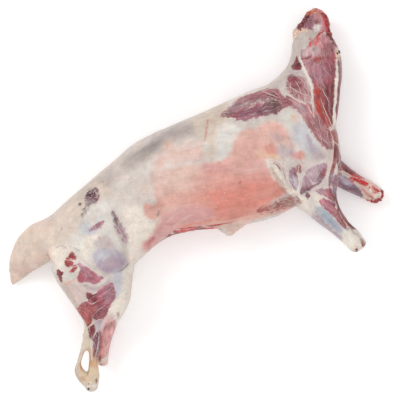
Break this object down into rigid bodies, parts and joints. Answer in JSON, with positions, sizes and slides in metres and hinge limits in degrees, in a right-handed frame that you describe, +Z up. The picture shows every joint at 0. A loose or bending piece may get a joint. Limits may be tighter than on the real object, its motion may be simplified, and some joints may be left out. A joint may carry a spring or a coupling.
{
  "type": "whole goat carcass",
  "caption": "Whole skinned and gutted goat carcass on its left side: slit belly, neck stump, broad fat tail, legs cut at the knees and one hock.",
  "frame": {"origin": "under the middle of the bounding box, on the surface that the carcass lies on", "axes": "+Z up, away from the surface, and out of the carcass's right side; +X from the rump towards the chest; the legs point to -Y"},
  "size_m": [0.865, 0.8714, 0.1822],
  "materials": {
    "raw_meat": "moist raw meat with pale fat and sinew"
  },
  "bodies": {
    "root": {"carcass": "raw_meat"}
  },
  "joints": []
}
